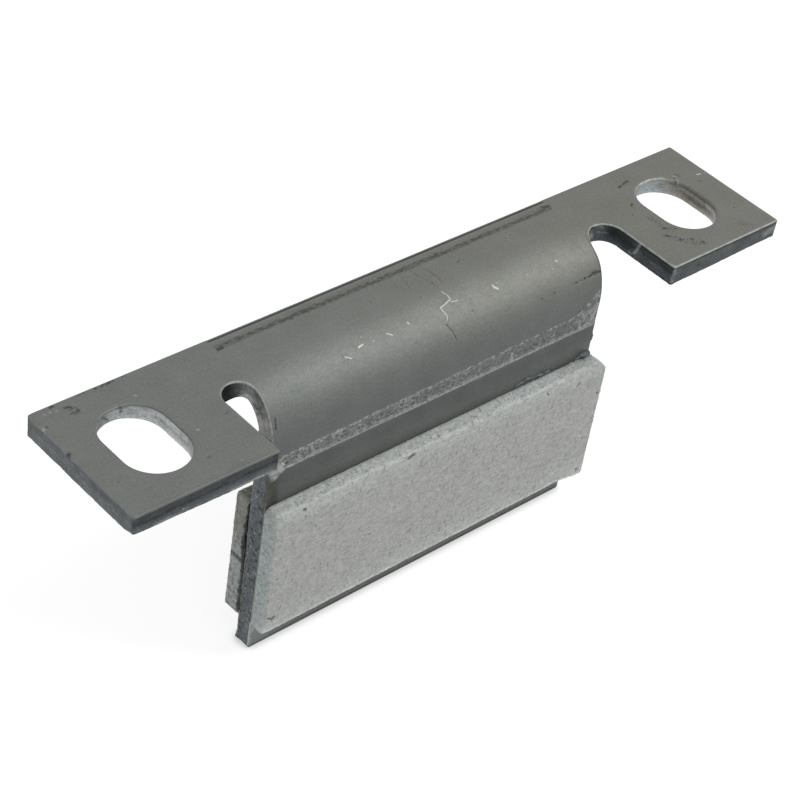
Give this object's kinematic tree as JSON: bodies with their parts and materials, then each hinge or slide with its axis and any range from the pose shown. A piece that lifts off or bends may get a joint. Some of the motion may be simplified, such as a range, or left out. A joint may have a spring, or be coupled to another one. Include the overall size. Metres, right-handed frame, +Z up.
{
  "type": "elevator door guide shoe",
  "caption": "Folded steel guide shoe for a sliding lift door: a slotted flange bolts under the door panel, and a lined tongue runs in the sill groove.",
  "frame": {"origin": "midway between the centres of the two fixing slots, on the top face of the flange", "axes": "+X along the shoe and the door's travel, +Y across the sill from the wings' front edge to the back edge, +Z up, out of the flange's top face"},
  "size_m": [0.121, 0.023, 0.046],
  "materials": {
    "steel": "satin",
    "felt": "matte",
    "glue": "satin"
  },
  "bodies": {
    "root": {"bracket": "steel", "front_adhesive": "glue", "front_lining": "felt", "rear_adhesive": "glue", "rear_lining": "felt"}
  },
  "joints": []
}
